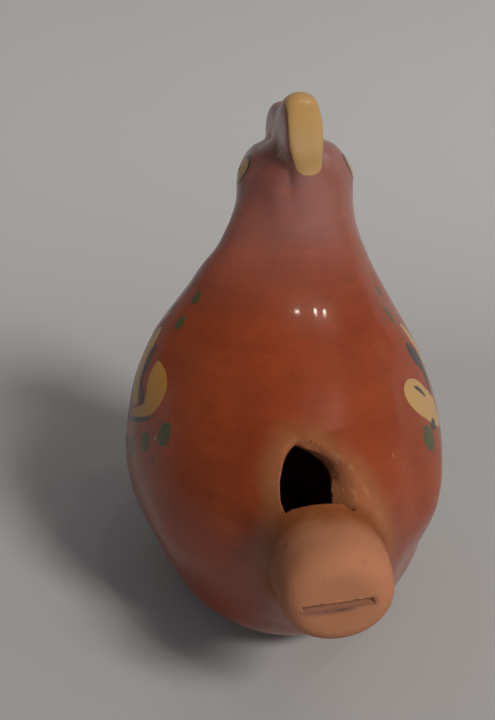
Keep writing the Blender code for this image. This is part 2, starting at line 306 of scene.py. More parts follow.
@dataclass
class WhistleBody:
    """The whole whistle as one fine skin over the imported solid."""

    node: str = "whistle_body"
    skin_angle: float = math.radians(38)
    crisp_angle: float = math.radians(62)
    longest_edge: float = 0.8 * MM
    longest_cut_edge: float = 0.55 * MM
    crisp_distance: float = 0.9 * MM
    body_rounds: int = 26
    comb_rounds: int = 7
    comb_height: float = 9.0 * MM
    cut_rounds: int = 6
    blowing_end: float = -27.5 * MM
    unevenness: float = 0.07 * MM
    wave_lengths: tuple[float, float] = (9 * MM, 4 * MM)
    foot_height: float = 0.25 * MM
    foot_fade: float = 3.0 * MM
    longest_painted_edge: float = 0.45 * MM
    painted_rounds: int = 4
    painted_boxes: tuple[tuple[Place, Place], ...] = (
        ((-26 * MM, -10 * MM, 22 * MM), (-12 * MM, 13 * MM, 43 * MM)),
        ((12 * MM, -12 * MM, 22 * MM), (26 * MM, 13 * MM, 43 * MM)),
        ((-12 * MM, 15.5 * MM, 58 * MM), (16 * MM, 22.5 * MM, 64.5 * MM)),
    )
    window_centre: Place = (0.0, -0.0195, 0.0300)
    window_reach: float = 9.5 * MM
    worn_from: float = 3.2 * MM
    worn_rounds: int = 40
    bare_behind: float = -12.0
    bare_foot: float = 0.5
    bare_range: tuple[float, float] = (-6.0, 8.0)
    strokes: list[Stroke] = field(default_factory=list)
    presses: tuple[Press, ...] = (
        Press(Side.REAR, ((0.7, 63.2, 0.2), (0.9, 61.4, 0.3), (1.1, 60.4, 0.2)), 0.28, 1.6),
        Press(Side.REAR, ((0.8, 62.0, 0.2), (1.1, 60.0, 0.3), (1.6, 57.4, 0.2)), 0.28, 2.2),
        Press(Side.LEFT, ((18.5, 61.0, 1.0), (17.8, 63.0, 0.8)), -0.40, 3.2),
        Press(Side.RIGHT, ((18.5, 61.0, 1.0),), -0.55, 3.4),
        Press(Side.TOP, ((-3.4, 17.0, 1.0), (-2.6, 20.0, 1.0)), 0.45, 2.6),
        Press(Side.LEFT, ((14.8, 55.4, 1.6), (14.0, 53.6, 1.6)), -0.50, 3.5),
        Press(Side.LEFT, ((14.6, 54.6, 1.6), (12.6, 51.6, 2.0), (12.0, 49.4, 1.2)), -1.00, 5.0),
        Press(Side.LEFT, ((11.2, 45.5, 1.6), (10.1, 42.2, 2.0), (9.5, 39.0, 2.0), (7.2, 35.0, 2.0)), -0.75, 7.0),
        Press(Side.LEFT, ((9.5, 39.0, 1.6), (7.2, 35.0, 2.0), (5.0, 31.5, 1.6)), -0.50, 7.0),
        Press(Side.LEFT, ((-3.0, 12.5, 2.0), (-9.0, 11.5, 2.0), (-14.2, 10.7, 1.5)), 0.50, 6.0),
        Press(Side.RIGHT, ((5.4, 36.6, 1.8), (-1.0, 31.0, 2.0), (-7.8, 24.7, 2.0), (-11.0, 20.5, 1.5)), -0.80, 7.0),
        Press(Side.RIGHT, ((-5.0, 14.4, 2.0), (-10.0, 14.0, 2.5), (-14.0, 12.8, 2.0)), 0.90, 6.5),
        Press(Side.RIGHT, ((10.6, 46.4, 1.4), (9.2, 43.2, 1.4)), 0.40, 5.0),
        Press(Side.REAR, ((3.8, 33.0, 0.6), (4.7, 31.4, 0.6)), -0.80, 2.8),
        Press(Side.REAR, ((-12.0, 8.0, 2.0), (-7.0, 5.6, 2.0), (-1.0, 4.6, 2.0)), -0.45, 4.0),
        Press(Side.LEFT, ((-31.5, 21.0, 1.5), (-28.0, 21.5, 1.5)), 0.45, 4.0),
    )

    def build(self) -> bpy.types.Object:
        """Make the finished piece.

        Returns:
            The object, with its painting and bare clay kept as attributes.
        """
        mesh = bmesh.new()
        mesh.from_mesh(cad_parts[self.node].data)
        bmesh.ops.remove_doubles(mesh, verts=mesh.verts, dist=0.001 * MM)
        skin = self._outer_skin(mesh)
        self._refine(mesh, skin, self.longest_edge, near_window=False)
        self._refine(mesh, skin, self.longest_cut_edge, near_window=True)
        crisp = self._distance_from_crisp_edges(mesh, skin)
        self._smooth(mesh, skin, crisp)
        self._refine_painted(mesh, skin)
        self._press(mesh)
        self._roughen(mesh, self._distance_from_crisp_edges(mesh, skin))
        data = bpy.data.meshes.new("painted_whistle")
        for face in mesh.faces:
            face.smooth = True
        inside = np.array([not any(face[skin] for face in vert.link_faces) for vert in mesh.verts])
        mesh.to_mesh(data)
        mesh.free()
        data.set_sharp_from_angle(angle=self.crisp_angle)
        self._paint(data)
        self._mark_bare(data, inside)
        piece = bpy.data.objects.new("painted_whistle", data)
        bpy.context.scene.collection.objects.link(piece)
        return piece

    def _outer_skin(self, mesh: Mesh) -> Layer:
        """Mark the faces seen from outside, by spreading from a few outermost faces over soft edges.

        Args:
            mesh: The merged copy of the solid.

        Returns:
            The face layer that is 1 on the skin.
        """
        layer = mesh.faces.layers.int.new("skin")
        mesh.faces.ensure_lookup_table()
        outermost = [
            pick(mesh.verts, key=lambda vert, axis=axis: vert.co[axis])
            for axis in (2, 0, 1) for pick in (max, min)
        ]
        waiting = [face for vert in outermost for face in vert.link_faces]
        for face in waiting:
            face[layer] = 1
        while waiting:
            face = waiting.pop()
            for edge in face.edges:
                if len(edge.link_faces) == 2 and edge.calc_face_angle(0.0) < self.skin_angle:
                    for other in edge.link_faces:
                        if not other[layer]:
                            other[layer] = 1
                            waiting.append(other)
        return layer

    def _by_window(self, place: Vector) -> bool:
        """Whether a place is near the window."""
        return (place - Vector(self.window_centre)).length < self.window_reach

    def _worn(self, place: Vector) -> bool:
        """Whether a place is on the window's right, where a finger wiped the cut's edge soft."""
        return self._by_window(place) and place.x > self.worn_from

    def _refine(self, mesh: Mesh, skin: Layer, longest: float, near_window: bool) -> None:
        """Split long edges, either all over the skin or only near the window, cut faces with them.

        Args:
            mesh: The mesh to refine.
            skin: The face layer that marks the skin.
            longest: The longest edge to leave, in metres.
            near_window: Whether to refine near the window.
        """
        for _ in range(6):
            edges = [
                edge for edge in mesh.edges
                if edge.calc_length() > longest
                and (self._by_window((edge.verts[0].co + edge.verts[1].co) / 2) if near_window
                     else any(face[skin] for face in edge.link_faces))
            ]
            if not edges:
                break
            halve(mesh, edges)

    def _painted(self, place: Vector) -> bool:
        """Whether a place lies in one of the boxes around the painting."""
        return any(
            all(low <= part <= high for low, part, high in zip(start, place, end))
            for start, end in self.painted_boxes
        )

    def _refine_painted(self, mesh: Mesh, skin: Layer) -> None:
        """Split long edges of the skin where the painting lies, so that its edges stay clean.

        Args:
            mesh: The smoothed mesh.
            skin: The face layer that marks the skin.
        """
        for _ in range(3):
            edges = [
                edge for edge in mesh.edges
                if edge.calc_length() > self.longest_painted_edge
                and all(face[skin] for face in edge.link_faces)
                and self._painted(edge.verts[0].co)
            ]
            if not edges:
                break
            halve(mesh, edges)
        fresh = dict.fromkeys(vert for edge in mesh.edges if self._painted(edge.verts[0].co) for vert in edge.verts)
        soften(mesh, [vert for vert in fresh if all(face[skin] for face in vert.link_faces)], self.painted_rounds)

    def _distance_from_crisp_edges(self, mesh: Mesh, skin: Layer) -> list[float]:
        """Distance of each vertex from the nearest edge that a knife or stick left crisp.

        Args:
            mesh: The refined mesh.
            skin: The face layer that marks the skin.

        Returns:
            One distance in metres for each vertex.
        """
        crisp = {
            vert for edge in mesh.edges
            if edge.calc_face_angle(0.0) > self.crisp_angle and not all(face[skin] for face in edge.link_faces)
            for vert in edge.verts if not self._worn(vert.co)
        }
        tree = KDTree(len(crisp))
        for index, vert in enumerate(crisp):
            tree.insert(vert.co, index)
        tree.balance()
        return [tree.find(vert.co)[2] for vert in mesh.verts]

    def _smooth(self, mesh: Mesh, skin: Layer, crisp: list[float]) -> None:
        """Smooth the facets away, less on the comb, the window's slopes and by crisp edges than elsewhere.

        Args:
            mesh: The refined mesh.
            skin: The face layer that marks the skin.
            crisp: Distance of each vertex from a crisp edge.
        """
        comb_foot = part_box(self.node)[1][2] - self.comb_height
        distance_of = dict(zip(mesh.verts, crisp))
        free = [
            vert for vert, distance in distance_of.items()
            if distance > 1e-6 and vert.co.z > self.foot_height
            and (any(face[skin] for face in vert.link_faces) or self._by_window(vert.co))
        ]
        open_skin = [vert for vert in free if distance_of[vert] > self.crisp_distance]
        body = [vert for vert in open_skin if vert.co.z < comb_foot and vert.co.y > self.blowing_end]
        worn = [vert for vert in free if self._worn(vert.co)]
        soften(mesh, free, self.cut_rounds)
        soften(mesh, worn, self.worn_rounds)
        soften(mesh, open_skin, self.comb_rounds)
        soften(mesh, body, self.body_rounds)

    def _press(self, mesh: Mesh) -> None:
        """Leave each thumb's mark in the clay.

        Args:
            mesh: The smoothed mesh.
        """
        mesh.normal_update()
        surface = BVHTree.FromBMesh(mesh)
        places = np.array([vert.co for vert in mesh.verts])
        moves = np.zeros(len(places))
        for press in self.presses:
            line = Stroke(press.side, Pigment.DARK, press.points)
            distance = line_distance(surface, [line], places, press.fade)
            moves += press.depth * MM * np.array([smooth_step(press.fade, -0.5 * press.fade, gap) for gap in distance])
        for vert, move in zip(mesh.verts, moves):
            if move:
                vert.co -= vert.normal * move

    def _roughen(self, mesh: Mesh, crisp: list[float]) -> None:
        """Give the skin the slight unevenness of a form shaped by hand.

        Args:
            mesh: The mesh to move.
            crisp: Distance of each vertex from a crisp edge.
        """
        mesh.normal_update()
        long, short = self.wave_lengths
        elsewhere = Vector((7.0, 3.0, 1.0))
        for vert, distance in zip(mesh.verts, crisp):
            if vert.co.z < self.foot_height:
                continue
            reach = min(distance / self.crisp_distance, 1.0) * min(vert.co.z / self.foot_fade, 1.0)
            wave = noise.noise(vert.co / long) + 0.5 * noise.noise(vert.co / short + elsewhere)
            vert.co += vert.normal * wave * self.unevenness * reach

    def _paint(self, data: bpy.types.Mesh) -> None:
        """Store how far each vertex lies from the edge of each slip, in millimetres.

        Args:
            data: The finished mesh.
        """
        places = vertex_places(data)
        corners = [vert.co for vert in data.vertices]
        surface = BVHTree.FromPolygons(corners, [tuple(face.vertices) for face in data.polygons])
        for pigment in Pigment:
            strokes = [stroke for stroke in self.strokes if stroke.pigment is pigment]
            store(data, pigment.value, line_distance(surface, strokes, places))

    def _mark_bare(self, data: bpy.types.Mesh, inside: np.ndarray) -> None:
        """Store how far each vertex lies outside the bare clay, in millimetres, below zero within it.

        Args:
            data: The finished mesh.
            inside: Whether each vertex lies only on cut or inner faces.
        """
        places = vertex_places(data) / MM
        lowest, highest = self.bare_range
        edge = outline_distance(BARE_OUTLINE, places[:, [0, 2]])
        edge = np.where(places[:, 1] > self.bare_behind, highest, edge)
        edge = np.minimum(edge, (places[:, 2] - self.bare_foot) * 1.5)
        edge[inside] = lowest
        store(data, "glaze_edge", np.clip(edge, lowest, highest))


def halve(mesh: Mesh, edges: list[bmesh.types.BMEdge]) -> None:
    """Halve edges, keep every face a triangle and remove pairs of faces that this folds flat together.

    Args:
        mesh: The mesh to refine.
        edges: The edges to halve.
    """
    bmesh.ops.subdivide_edges(mesh, edges=edges, cuts=1)
    many_sided = [face for face in mesh.faces if len(face.verts) > 3]
    bmesh.ops.triangulate(mesh, faces=many_sided, quad_method="SHORT_EDGE", ngon_method="BEAUTY")
    alike: dict[frozenset[bmesh.types.BMVert], list[bmesh.types.BMFace]] = {}
    for face in mesh.faces:
        alike.setdefault(frozenset(face.verts), []).append(face)
    folded = [face for faces in alike.values() for face in faces[:len(faces) - len(faces) % 2]]
    bmesh.ops.delete(mesh, geom=folded, context="FACES")


def soften(mesh: Mesh, verts: list[bmesh.types.BMVert], rounds: int) -> None:
    """Draw vertices towards their neighbours, a number of rounds."""
    for _ in range(rounds):
        bmesh.ops.smooth_vert(mesh, verts=verts, factor=0.5, use_axis_x=True, use_axis_y=True, use_axis_z=True)


def vertex_places(data: bpy.types.Mesh) -> np.ndarray:
    """One row for each vertex, in metres."""
    places = np.empty(len(data.vertices) * 3)
    data.vertices.foreach_get("co", places)
    return places.reshape(-1, 3)


def outline_distance(outline: tuple[tuple[float, float], ...], places: np.ndarray) -> np.ndarray:
    """How far each place is outside a closed outline, below zero within it.

    Args:
        outline: Corners of the outline, in order.
        places: One row of two values for each place.

    Returns:
        One distance for each place.
    """
    nearest = np.full(len(places), np.inf)
    within = np.zeros(len(places), dtype=bool)
    for start, end in zip(outline, outline[1:] + outline[:1]):
        first, second = np.array(start), np.array(end)
        along = second - first
        share = np.clip((places - first) @ along / (along @ along), 0.0, 1.0)
        gap = places - (first + share[:, None] * along)
        nearest = np.minimum(nearest, np.hypot(gap[:, 0], gap[:, 1]))
        crosses = (first[1] > places[:, 1]) != (second[1] > places[:, 1])
        turn = first[0] + along[0] * (places[:, 1] - first[1]) / (along[1] if along[1] else 1e-9)
        within ^= crosses & (places[:, 0] < turn)
    return np.where(within, -nearest, nearest)


def smooth_step(low: float, high: float, value: float) -> float:
    """Smooth rise from 0 at low to 1 at high."""
    t = min(max((value - low) / (high - low), 0.0), 1.0)
    return t * t * (3 - 2 * t)


def line_distance(
    surface: BVHTree, strokes: list[Stroke], places: np.ndarray, furthest: float = 3.0,
) -> np.ndarray:
    """How far each place is from the edge of the nearest stroke, negative inside it.

    Args:
        surface: The surface that the strokes are laid on.
        strokes: The strokes of one pigment.
        places: One row for each place, in metres.
        furthest: The largest distance that is told apart, in millimetres.

    Returns:
        One distance for each place, in millimetres.
    """
    nearest = np.full(len(places), furthest)
    for stroke in strokes:
        axis, sign = stroke.side.value
        look = Vector((0.0, 0.0, 0.0))
        look[axis] = sign
        across, along = (index for index in range(3) if index != axis)
        for first, second, half_width in stroke.samples():
            start = Vector((0.0, 0.0, 0.0))
            start[across] = first * MM
            start[along] = second * MM
            start[axis] = -sign * RAY_START
            hit = surface.ray_cast(start, look)[0]
            if hit is None:
                continue
            offset = places - np.array(hit)
            near = np.abs(offset[:, 2]) < (furthest + half_width) * MM
            gap = np.sqrt((offset[near] ** 2).sum(axis=1)) / MM - half_width
            nearest[near] = np.minimum(nearest[near], gap)
    return nearest


def store(data: bpy.types.Mesh, name: str, values: np.ndarray) -> None:
    """Keep one number for each vertex under a name."""
    attribute = data.attributes.new(name, "FLOAT", "POINT")
    attribute.data.foreach_set("value", values.astype(np.float32))


class ShaderBench:
    """Short ways to place and join shader nodes in one node tree."""

    def __init__(self, tree: bpy.types.NodeTree) -> None:
        """Start on a node tree."""
        self.tree = tree

    def node(self, kind: str, **settings: object) -> bpy.types.Node:
        """Place a node.

        Args:
            kind: The node's type.
            **settings: Values of its properties.

        Returns:
            The node.
        """
        made = self.tree.nodes.new(kind)
        for name, value in settings.items():
            setattr(made, name, value)
        return made

    def join(self, source: object, target: Socket) -> None:
        """Feed an input.

        Args:
            source: The socket to link, or a plain value to set.
            target: The input.
        """
        if isinstance(source, Socket):
            self.tree.links.new(source, target)
        else:
            target.default_value = source

    def math(self, operation: str, first: object, second: object = 0.0, clamp: bool = False) -> Socket:
        """One calculation on two values.

        Args:
            operation: What the Math node does.
            first: A socket or a number.
            second: A socket or a number.
            clamp: Whether the result stays from 0 to 1.

        Returns:
            The result.
        """
        made = self.node("ShaderNodeMath", operation=operation, use_clamp=clamp)
        self.join(first, made.inputs[0])
        self.join(second, made.inputs[1])
        return made.outputs[0]

    def opposite(self, value: object) -> Socket:
        """One less the value."""
        return self.math("SUBTRACT", 1.0, value)

    def centred(self, value: object, amount: object) -> Socket:
        """A value from 0 to 1 made to swing about 0, by an amount."""
        return self.math("MULTIPLY", self.math("SUBTRACT", value, 0.5), amount)

    def between(self, value: object, low: float, high: float, smooth: bool = True) -> Socket:
        """Rise from 0 at low to 1 at high.

        Args:
            value: A socket or a number.
            low: Where the rise starts.
            high: Where it ends.
            smooth: Whether it eases in and out.

        Returns:
            The risen value.
        """
        made = self.node("ShaderNodeMapRange", interpolation_type="SMOOTHSTEP" if smooth else "LINEAR")
        self.join(value, made.inputs["Value"])
        made.inputs["From Min"].default_value = low
        made.inputs["From Max"].default_value = high
        return made.outputs["Result"]

    def blend(self, share: object, first: object, second: object) -> Socket:
        """Mix two colours.

        Args:
            share: How much of the second, from 0 to 1.
            first: A socket or a colour.
            second: A socket or a colour.

        Returns:
            The mixed colour.
        """
        made = self.node("ShaderNodeMix", data_type="RGBA")
        self.join(share, made.inputs[0])
        self.join((*first, 1.0) if isinstance(first, tuple) else first, made.inputs[6])
        self.join((*second, 1.0) if isinstance(second, tuple) else second, made.inputs[7])
        return made.outputs[2]

    def shift(self, share: object, first: object, second: object) -> Socket:
        """Mix two numbers.

        Args:
            share: How much of the second, from 0 to 1.
            first: A socket or a number.
            second: A socket or a number.

        Returns:
            The mixed number.
        """
        made = self.node("ShaderNodeMix", data_type="FLOAT")
        self.join(share, made.inputs[0])
        self.join(first, made.inputs[2])
        self.join(second, made.inputs[3])
        return made.outputs[0]

    def place(self) -> Socket:
        """The place on the object, in metres."""
        return self.node("ShaderNodeTexCoord").outputs["Object"]

    def axis(self, name: str) -> Socket:
        """One part of the place on the object.

        Args:
            name: X, Y or Z.

        Returns:
            That part, in metres.
        """
        split = self.node("ShaderNodeSeparateXYZ")
        self.join(self.place(), split.inputs[0])
        return split.outputs[name]

    def noise(
        self, scale: float, detail: float, roughness: float = 0.5, stretch: Place = (1.0, 1.0, 1.0),
        turn: Place = (0.0, 0.0, 0.0), way: str = "POINT",
    ) -> Socket:
        """Cloudy noise on the object.

        Args:
            scale: How fine it is.
            detail: How many finer layers it has.
            roughness: How strong those layers are.
            stretch: How it is scaled along each axis.
            turn: How it is turned.
            way: Whether stretch and turn act on the place or on the pattern.

        Returns:
            The noise, from 0 to 1.
        """
        mapping = self.node("ShaderNodeMapping", vector_type=way)
        self.join(self.place(), mapping.inputs["Vector"])
        mapping.inputs["Rotation"].default_value = turn
        mapping.inputs["Scale"].default_value = stretch
        made = self.node("ShaderNodeTexNoise")
        self.join(mapping.outputs[0], made.inputs["Vector"])
        made.inputs["Scale"].default_value = scale
        made.inputs["Detail"].default_value = detail
        made.inputs["Roughness"].default_value = roughness
        return made.outputs["Fac"]

    def cells(self, scale: float) -> Socket:
        """Many scattered points on the object.

        Args:
            scale: How close together they are.

        Returns:
            The distance to the nearest one.
        """
        made = self.node("ShaderNodeTexVoronoi")
        self.join(self.place(), made.inputs["Vector"])
        made.inputs["Scale"].default_value = scale
        return made.outputs["Distance"]

    def measure(self, name: str) -> Socket:
        """A number kept on the mesh."""
        return self.node("ShaderNodeAttribute", attribute_name=name).outputs["Fac"]


def socket(tree: bpy.types.NodeTree, name: str, way: str, value: float = 0.0) -> None:
    """Give a node group a named input or output for numbers.

    Args:
        tree: The node group.
        name: What the socket is called.
        way: INPUT or OUTPUT.
        value: What an input is when nothing feeds it.
    """
    made = tree.interface.new_socket(name=name, in_out=way, socket_type="NodeSocketFloat")
    made.default_value = value


def clay_grain_group() -> bpy.types.NodeTree:
    """Grain of fired earthenware: fine grog, soft clouds and a few pores.

    Returns:
        A group that gives a tint from 0 to 1 and a height from 0 to 1.
    """
    tree = bpy.data.node_groups.new("clay_grain", "ShaderNodeTree")
    socket(tree, "Pores", "INPUT", 1.0)
    socket(tree, "Tint", "OUTPUT")
    socket(tree, "Height", "OUTPUT")
    bench = ShaderBench(tree)
    given = bench.node("NodeGroupInput")
    out = bench.node("NodeGroupOutput")
    clouds = bench.noise(220.0, 3.0)
    grog = bench.noise(2600.0, 4.0, roughness=0.65)
    pore = bench.opposite(bench.between(bench.cells(700.0), 0.05, 0.16))
    pore = bench.math("MULTIPLY", pore, bench.between(bench.noise(300.0, 2.0), 0.50, 0.62))
    pore = bench.math("MULTIPLY", pore, given.outputs["Pores"])
    tint = bench.math("ADD", bench.math("MULTIPLY", clouds, 0.75), bench.math("MULTIPLY", grog, 0.35))
    bench.join(bench.math("SUBTRACT", tint, bench.math("MULTIPLY", pore, 0.5), clamp=True), out.inputs["Tint"])
    bench.join(bench.math("SUBTRACT", grog, pore), out.inputs["Height"])
    return tree


def brush_edge_group() -> bpy.types.NodeTree:
    """Where slip lies, from the distance to its edge, with the wobble of a brush.

    Returns:
        A group that turns a distance in millimetres into a cover from 0 to 1.
    """
    tree = bpy.data.node_groups.new("brush_edge", "ShaderNodeTree")
    socket(tree, "Distance", "INPUT", 3.0)
    socket(tree, "Wobble", "INPUT", 0.25)
    socket(tree, "Cover", "OUTPUT")
    bench = ShaderBench(tree)
    given = bench.node("NodeGroupInput")
    out = bench.node("NodeGroupOutput")
    wobble = bench.centred(bench.noise(900.0, 3.0), given.outputs["Wobble"])
    moved = bench.math("ADD", given.outputs["Distance"], wobble)
    bench.join(bench.opposite(bench.between(moved, -0.12, 0.12)), out.inputs["Cover"])
    return tree


@dataclass
class Dresser:
    """Makes the whistle's one material: glaze over painted slip, and clay where it is bare or cut."""

    palette: Palette = field(default_factory=Palette)
    finish: Finish = field(default_factory=Finish)
    thin_width: float = 2.2
    bare_edge: tuple[float, float] = (-0.7, 0.5)
    # Painted sheen: the heights over which a pale reflection rises in the glaze's colour, and how much of it there is.
    painted_sheen_heights: tuple[float, float] = (41 * MM, 58 * MM)
    painted_sheen_share: float = 0.16
    scrape_run: Place = (0.38, -0.67, -0.64)
    scrape_strength: float = 0.25

    def __post_init__(self) -> None:
        """Build the shared node groups once."""
        self.grain = clay_grain_group()
        self.edge = brush_edge_group()

    def dress(self, piece: bpy.types.Object) -> None:
        """Put the material on the piece."""
        piece.data.materials.append(self._painted_clay())

    def _group(self, bench: ShaderBench, tree: bpy.types.NodeTree, **values: object) -> bpy.types.Node:
        """Place a node group.

        Args:
            bench: The material's bench.
            tree: The node group.
            **values: What feeds each of its inputs.

        Returns:
            The node.
        """
        made = bench.node("ShaderNodeGroup", node_tree=tree)
        for name, value in values.items():
            bench.join(value, made.inputs[name])
        return made

    def _painted_clay(self) -> bpy.types.Material:
        """Red-brown glaze over painted slip, running out to bare clay on the mouthpiece.

        Returns:
            The material.
        """
        material = bpy.data.materials.new("glazed_painted_clay")
        material.use_nodes = True
        bench = ShaderBench(material.node_tree)
        shader = material.node_tree.nodes["Principled BSDF"]
        grain = self._group(bench, self.grain, Pores=1.0)
        clouds = bench.noise(85.0, 4.0, roughness=0.6)
        mottle = bench.noise(1500.0, 3.0, roughness=0.7)
        uneven = bench.centred(bench.noise(260.0, 4.0, roughness=0.6), 1.6)
        edge = bench.math("ADD", bench.measure("glaze_edge"), uneven)
        thin = bench.opposite(bench.between(edge, 0.0, self.thin_width))
        bare = bench.opposite(bench.between(edge, *self.bare_edge))

        glaze = self._glaze(bench, clouds, mottle, thin)
        painted, cover = self._slips(bench, glaze, mottle)
        clay = self._clay(bench, grain.outputs["Tint"], edge)
        bench.join(bench.blend(bare, painted, clay), shader.inputs["Base Color"])

        finish = self.finish
        gloss = bench.math("ADD", finish.glaze_roughness, bench.math("MULTIPLY", clouds, 0.05))
        gloss = bench.shift(cover, gloss, finish.slip_roughness)
        gloss = bench.shift(thin, gloss, finish.thin_roughness)
        bench.join(bench.shift(bare, gloss, finish.bare_roughness), shader.inputs["Roughness"])
        skin = bench.math("MULTIPLY", bench.opposite(thin), finish.skin_weight)
        bench.join(skin, shader.inputs["Coat Weight"])
        shader.inputs["Coat Roughness"].default_value = finish.skin_roughness
        shader.inputs["Specular IOR Level"].default_value = finish.specular

        height = bench.math("MULTIPLY", cover, finish.slip_relief)
        lines = bench.noise(160.0, 2.0, stretch=(1.0, 1.0, 16.0))
        height = bench.math("ADD", height, bench.math("MULTIPLY", lines, finish.streak_relief))
        rough = bench.math("MULTIPLY", bench.math("MULTIPLY", grain.outputs["Height"], finish.grain_relief), bare)
        bump = bench.node("ShaderNodeBump")
        bump.inputs["Distance"].default_value = 1.0
        bump.inputs["Strength"].default_value = 1.0
        bench.join(bench.math("ADD", height, rough), bump.inputs["Height"])
        bench.join(bump.outputs["Normal"], shader.inputs["Normal"])
        return material

    def _glaze(self, bench: ShaderBench, clouds: Socket, mottle: Socket, thin: Socket) -> Socket:
        """Streaked and clouded glaze, thin by the bare clay, with a painted pale sheen towards the head.

        Args:
            bench: The material's bench.
            clouds: Broad noise.
            mottle: Fine noise.
            thin: How thin the glaze lies, from 0 to 1.

        Returns:
            Its colour.
        """
        palette = self.palette
        streaks = bench.noise(70.0, 3.0, roughness=0.6, stretch=(1.0, 1.0, 14.0))
        tone = bench.math("ADD", bench.math("MULTIPLY", clouds, 0.7), bench.math("MULTIPLY", streaks, 0.30))
        tone = bench.math("ADD", tone, bench.centred(mottle, 0.30))
        tone = bench.between(tone, 0.25, 0.85, smooth=False)
        glaze = bench.blend(tone, palette.glaze_deep, palette.glaze_bright)
        glaze = bench.blend(bench.math("MULTIPLY", thin, 0.8), glaze, palette.glaze_thin)
        # Painted sheen: a pale reflection mixed into the glaze's colour, rising towards the head.
        sheen_share = bench.math("MULTIPLY", bench.between(bench.axis("Z"), *self.painted_sheen_heights), self.painted_sheen_share)
        return bench.blend(sheen_share, glaze, palette.painted_sheen)

    def _slips(self, bench: ShaderBench, colour: Socket, mottle: Socket) -> tuple[Socket, Socket]:
        """Lay the slips of the painting, one over the other.

        Args:
            bench: The material's bench.
            colour: The glaze's colour.
            mottle: Fine noise.

        Returns:
            The painted colour, and how far slip covers the glaze, from 0 to 1.
        """
        cover = 0.0
        wear = bench.between(bench.noise(700.0, 5.0, roughness=0.7), 0.30, 0.42)
        thickness = bench.math("ADD", bench.math("MULTIPLY", wear, 0.25), 0.75)
        for pigment, paint in (
            (Pigment.CREAM, self.palette.cream),
            (Pigment.OCHRE, self.palette.ochre),
            (Pigment.GREEN, self.palette.green),
            (Pigment.DARK, self.palette.dark),
        ):
            laid = self._group(bench, self.edge, Distance=bench.measure(pigment.value), Wobble=0.35)
            laid = bench.math("MULTIPLY", laid.outputs["Cover"], thickness)
            shade = bench.blend(bench.math("MULTIPLY", mottle, 0.5), paint, tuple(0.6 * part for part in paint))
            colour = bench.blend(laid, colour, shade)
            cover = bench.math("MAXIMUM", cover, laid)
        return colour, cover

    def _clay(self, bench: ShaderBench, grain: Socket, edge: Socket) -> Socket:
        """Bare clay with its grain, soaked-in wash, tool marks, smudges and a painted shade along the windway's mouth.

        Args:
            bench: The material's bench.
            grain: The grain's tint.
            edge: Distance outside the bare clay, in millimetres.

        Returns:
            Its colour.
        """
        palette = self.palette
        clay = bench.blend(grain, palette.clay_dark, palette.clay)
        by_glaze = bench.math("MULTIPLY", bench.between(edge, -2.4, -0.2), 0.25)
        clay = bench.blend(bench.math("MAXIMUM", self._wash(bench), by_glaze), clay, palette.clay_stained)
        scrape = bench.math("MULTIPLY", self._scrapes(bench), self.scrape_strength)
        clay = bench.blend(scrape, clay, palette.scraped)
        # The stained smudges and the painted shade along the windway's mouth darken the clay.
        stain_and_shade_cover = bench.opposite(bench.between(bench.measure(Pigment.STAIN_AND_SHADE.value), -0.45, 0.35))
        return bench.blend(bench.math("MULTIPLY", stain_and_shade_cover, 0.85), clay, palette.stain_and_shade)

    def _wash(self, bench: ShaderBench) -> Socket:
        """Glaze wash that has soaked into the bare clay, more towards the window.

        Args:
            bench: The material's bench.

        Returns:
            How much of it there is, from 0 to 1.
        """
        along = bench.math("MULTIPLY", bench.axis("Y"), 1 / MM)
        along = bench.math("ADD", along, bench.centred(bench.noise(200.0, 4.0, roughness=0.65), 6.0))
        on_cut = bench.math("MULTIPLY", bench.between(along, -25.0, -21.5), 0.35)
        return bench.math("SUBTRACT", bench.between(along, -31.0, -24.5), on_cut)

    def _scrapes(self, bench: ShaderBench) -> Socket:
        """Fine pale lines that a tool left, running down the cut's right side.

        Args:
            bench: The material's bench.

        Returns:
            How strongly a line shows, from 0 to 1.
        """
        run = tuple(Vector(self.scrape_run).to_track_quat("Z", "Y").to_euler())
        lines = bench.noise(2600.0, 2.0, stretch=(1.0, 1.0, 14.0), turn=run, way="TEXTURE")
        right = bench.between(bench.axis("X"), 1.8 * MM, 3.4 * MM)
        by_cut = bench.between(bench.axis("Y"), -23.5 * MM, -20.5 * MM)
        return bench.math("MULTIPLY", bench.between(lines, 0.52, 0.66), bench.math("MULTIPLY", right, by_cut))


